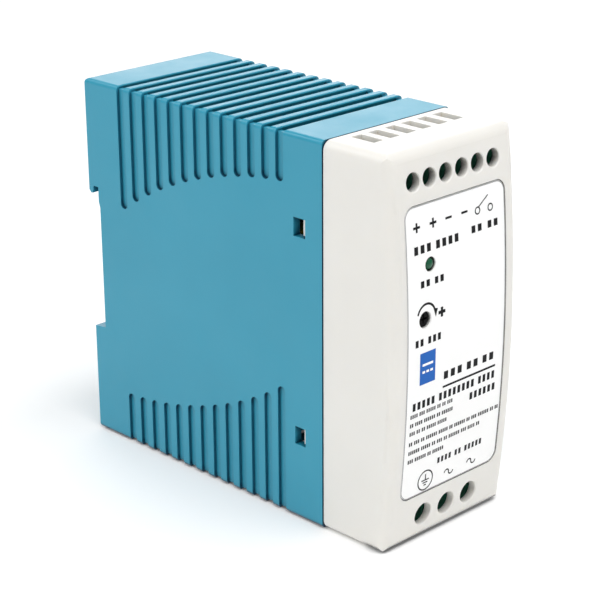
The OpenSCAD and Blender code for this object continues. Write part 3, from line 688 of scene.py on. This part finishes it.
def capacitor(name, y, z, r, h):
    """Sleeved can standing along X on the board: can, scored top, rubber foot, sleeve and polarity stripe."""
    top, foot = BOARD_X - h, BOARD_X - 0.05
    bm = bmesh.new()
    profile = [(0, 0.25), (r * 0.2, 0.25), (r * 0.78, 0.25), (r * 0.84, 0.08), (r * 0.9, 0)]
    profile += [(r * 0.97, 0.12), (r - 0.06, 0.5), (r - 0.06, h - 4)]
    lathe(bm, (top, y, z), (1, 0, 0), profile, 48)
    for a in (0, 90):
        dy, dz = math.cos(math.radians(a + 45)), math.sin(math.radians(a + 45))
        points = [(top + 0.24, y + dy * t * r, z + dz * t * r) for t in (-0.62, 0, 0.62)]
        tube(bm, points, 0.1, 6)
    can = link(f"{name}_can", bm, ALUMINIUM, "case", True)
    bm = bmesh.new()
    profile = [(r * 0.8, 0.02), (r * 0.9, -0.06), (r, 0.14), (r + 0.02, 0.5), (r + 0.02, h - 4.1)]
    profile += [(r - 0.25, h - 3.6), (r - 0.42, h - 3), (r - 0.25, h - 2.4), (r, h - 1.9)]
    profile += [(r + 0.02, h - 0.6), (r - 0.3, h - 0.1), (r * 0.6, h - 0.05)]
    lathe(bm, (top, y, z), (1, 0, 0), profile, 64)
    link(f"{name}_sleeve", bm, MAT["capacitor_can"], "case", True)
    bm = bmesh.new()
    for k in range(12):
        a0, a1 = (math.radians(150 + (k + j) * 4) for j in (0, 1))
        row = []
        on = r + 0.05
        for x in (top + 0.8, foot - 5):
            row.append([bm.verts.new((x, y + on * math.cos(a), z + on * math.sin(a))) for a in (a0, a1)])
        bm.faces.new((row[0][0], row[0][1], row[1][1], row[1][0]))
    bmesh.ops.remove_doubles(bm, verts=bm.verts, dist=1e-4)
    link(f"{name}_stripe", bm, STRIPE, "case", True)
    bm = bmesh.new()
    profile = [(0, 0), (r * 0.7, 0), (r * 0.75, 0.3), (r * 0.75, 1.2), (0, 1.2)]
    lathe(bm, (foot, y, z), (-1, 0, 0), profile, 32)
    link(f"{name}_bung", bm, MAT["black_plastic"], "case")
    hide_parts(name)


capacitor("bulk_capacitor", -15, -28.5, 9, 28)
capacitor("output_capacitor_1", -34.5, 27, 5, 25)
capacitor("output_capacitor_2", -45.2, 27, 5, 25)

# ---------------------------------------------------------------- legs and pins of the other parts
bm = bmesh.new()
for y in (-47, -42, -36, -31):
    tube(bm, [(BOARD_X - 1.5, y, -14.8), (BOARD_X, y, -14.8)], 0.5, 8)
for y in (-58, -55.5):
    for z, s in ((8, -1), (12.6, 1)):
        points = [(12, y, z), (12, y, z + s * 0.5), (12.9, y, z + s * 0.7), (BOARD_X, y, z + s * 0.7)]
        tube(bm, points, 0.22, 6)
for k in range(4):
    y = -21.4 + k * 1.27
    for z, s in ((-6, -1), (-2, 1)):
        points = [(13.1, y, z), (13.1, y, z + s * 0.35), (13.75, y, z + s * 0.55), (13.8, y, z + s * 1.1)]
        tube(bm, points, 0.18, 6)
for y in (-67.2, -52.2):
    tube(bm, [(BOARD_X - 0.6, y, -23.2), (BOARD_X, y, -23.2)], 0.4, 8)
for k in range(10):
    z = -10.8 + k * 2.4
    tube(bm, [(BOARD_X - 1.3, -71.7, z), (BOARD_X - 1.3, -70.6, z)], 0.3, 6)
link("component_legs", bm, MAT["tinned_wire"], "case", True)

bm = bmesh.new()
sleeve_end = [(2.6, -0.08), (3.6, -0.1), (4.02, 0.15), (4.05, 0.5), (4.0, 0.7)]
for x in (-2.9, BOARD_X - 0.5):
    lathe(bm, (x, -54.6, 27), (1, 0, 0), sleeve_end, 40)
link("inductor_shrink_ends", bm, MAT["black_plastic"], "case", True)
bm = bmesh.new()
cap_rim = [(3.0, -0.02), (3.9, -0.02), (4.22, 0.3), (4.22, 0.9), (4.18, 1.0)]
lathe(bm, (5.5, -65.5, -35), (1, 0, 0), cap_rim, 40)
link("fuse_cap_rim", bm, MAT["black_plastic"], "case", True)

for node_name, width in (
    ("rear_shell", 0.12),
    ("front_cover", 0.14),
    ("rail_latch", 0.15),
    ("output_terminal_block", 0.1),
    ("input_terminal_block", 0.1),
):
    soften(node_name, width)

# ---------------------------------------------------------------- camera
CAMERA_AT = (-0.28532, -0.33804, 0.14941)
YAW, RISE, ROLL = math.radians(-44.641), math.radians(20.589), math.radians(-0.329)
LENS, SENSOR = 110.8, 36


def look():
    """Camera turned to the left of the front and a little above it."""
    back = Vector((math.sin(YAW) * math.cos(RISE), -math.cos(YAW) * math.cos(RISE), math.sin(RISE)))
    level = Vector((math.cos(YAW), math.sin(YAW), 0))
    upright = back.cross(level)
    right = math.cos(ROLL) * level + math.sin(ROLL) * upright
    up = math.cos(ROLL) * upright - math.sin(ROLL) * level
    place = Matrix((right, up, back)).transposed().to_4x4()
    place.translation = Vector(CAMERA_AT)
    data = bpy.data.cameras.new("camera")
    data.lens = LENS
    data.sensor_width = SENSOR
    data.clip_start = 0.01
    cam = bpy.data.objects.new("camera", data)
    cam.matrix_world = place
    bpy.context.scene.collection.objects.link(cam)
    bpy.context.scene.camera = cam


look()


# ---------------------------------------------------------------- light and floor
def area(name, where, target, size, power):
    """White rectangular light that faces a target."""
    data = bpy.data.lights.new(name, "AREA")
    data.shape = "RECTANGLE"
    data.size, data.size_y = size
    data.energy = power
    obj = bpy.data.objects.new(name, data)
    obj.location = where
    obj.rotation_euler = (Vector(target) - Vector(where)).to_track_quat("-Z", "Y").to_euler()
    bpy.context.scene.collection.objects.link(obj)


MIDDLE = (0, -0.04, 0)
area("top_light", (0.0, -0.5, 1.1), MIDDLE, (1.4, 0.6), 13.6)
area("left_light", (-1.15, 0.3, 0.85), MIDDLE, (1.0, 0.9), 5.9)
area("front_light", (0.1, -1.4, 0.45), MIDDLE, (1.0, 0.36), 0.8)
area("back_light", (1.1, 1.1, 0.6), (0, -0.04, 0.045), (1.8, 0.75), 9.2)
area("edge_light", (-0.55, 1.05, 1.0), (0, -0.04, 0.04), (0.5, 0.3), 2.8)

FLOOR_HALF, FLOOR_GAP = 3.0, 0.2 * MM
floor_mesh = bpy.data.meshes.new("floor")
bm = bmesh.new()
bmesh.ops.create_grid(bm, x_segments=1, y_segments=1, size=FLOOR_HALF)
bm.to_mesh(floor_mesh)
bm.free()
floor = bpy.data.objects.new("floor", floor_mesh)
floor.location = (0, 0, CAD_BOX[0][2] - FLOOR_GAP)
bpy.context.scene.collection.objects.link(floor)
floor_mat, _, paper = new_material("floor")
paper.inputs["Base Color"].default_value = (0.93, 0.93, 0.93, 1)
paper.inputs["Roughness"].default_value = 0.8
paper.inputs["Emission Color"].default_value = (1, 1, 1, 1)
paper.inputs["Emission Strength"].default_value = 0.08
floor_mesh.materials.append(floor_mat)

world = bpy.data.worlds.new("world")
bpy.context.scene.world = world
world.use_nodes = True
sky = world.node_tree.nodes["Background"]
sky.inputs["Color"].default_value = (1, 1, 1, 1)
sky.inputs["Strength"].default_value = 0.25
bpy.context.scene.view_settings.view_transform = "Standard"
